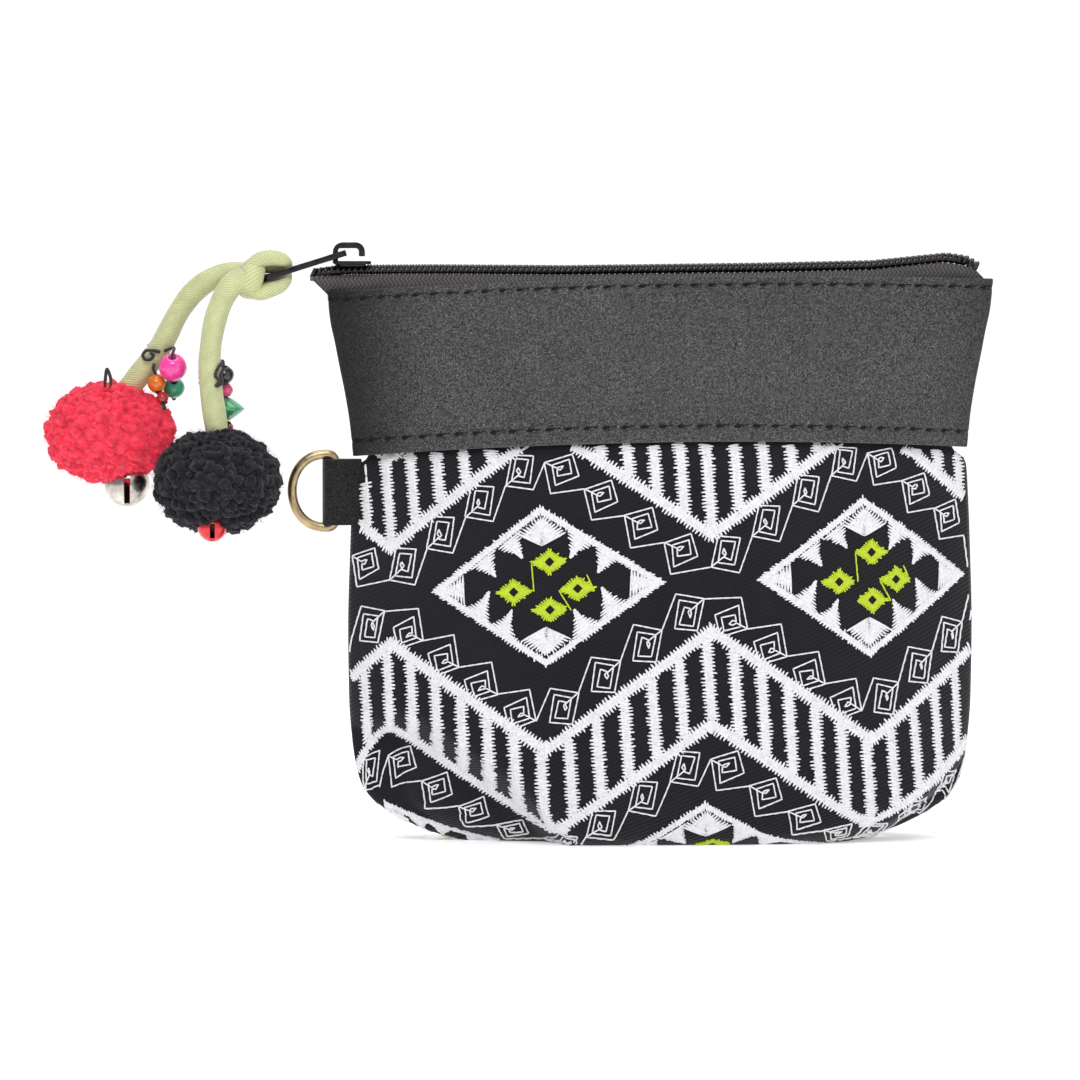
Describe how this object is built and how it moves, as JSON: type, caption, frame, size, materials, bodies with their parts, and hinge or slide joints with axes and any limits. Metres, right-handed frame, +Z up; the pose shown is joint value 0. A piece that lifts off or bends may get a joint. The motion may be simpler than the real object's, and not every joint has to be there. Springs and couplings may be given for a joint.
{
  "type": "zip coin purse",
  "caption": "Small zip purse with a leather top band, an embroidered cloth body on a boxed base, a side D-ring and a pompom charm on the zip pull.",
  "frame": {"origin": "middle of the purse's flat base, on the surface that it stands on", "axes": "+Z up, +X to the right along the zip, the purse's front facing -Y"},
  "size_m": [0.2001, 0.044, 0.126],
  "materials": {
    "embroidered_twill": "black cotton twill with white and lime satin-stitch embroidery",
    "band_leather": "charcoal grained leather, half matt",
    "tab_leather": "black smooth leather",
    "antique_brass": "antique brass wire, rubbed bright",
    "zip_tape": "dark woven tape",
    "zip_coil": "black nylon coil",
    "black_metal": "black enamelled zinc",
    "olive_cord": "silky olive fabric tube",
    "red_wool": "coral red wool yarn",
    "black_wool": "black wool yarn",
    "silver_bell": "nickel-plated sheet",
    "red_bell": "red metallic lacquer",
    "pink_bead": "hot pink gloss",
    "green_bead": "jade green gloss",
    "amber_bead": "amber gold gloss",
    "red_bead": "dark red gloss",
    "black_bead": "black gloss",
    "black_thread": "black cotton thread"
  },
  "bodies": {
    "purse": {"cloth_body": "embroidered_twill", "leather_front": "band_leather", "leather_back": "band_leather", "d_ring_tab": "tab_leather", "zip_tape_front": "zip_tape", "zip_tape_back": "zip_tape", "zip_chain": "zip_coil", "zip_slider": "black_metal", "zip_puller": "black_metal", "charm_knot": "olive_cord", "charm_cord_red": "olive_cord", "charm_cord_black": "olive_cord", "pompom_red": "red_wool", "pompom_black": "black_wool", "bell_silver": "silver_bell", "bell_red": "red_bell", "bead_pink": "pink_bead", "bead_green": "green_bead", "bead_amber": "amber_bead", "bead_red": "red_bead", "bead_black": "black_bead", "bead_rose": "pink_bead", "bead_coral": "red_bead", "bead_bicone": "green_bead", "bead_thread_red": "black_thread", "bead_thread_black": "black_thread"},
    "ring": {"d_ring": "antique_brass"}
  },
  "joints": [
    {"name": "ring_swing", "type": "hinge", "parent": "purse", "child": "ring", "pos_m": [-0.0687, 0, 0.0738], "axis": [0, 0, 1], "range_deg": [-90, 90]}
  ]
}
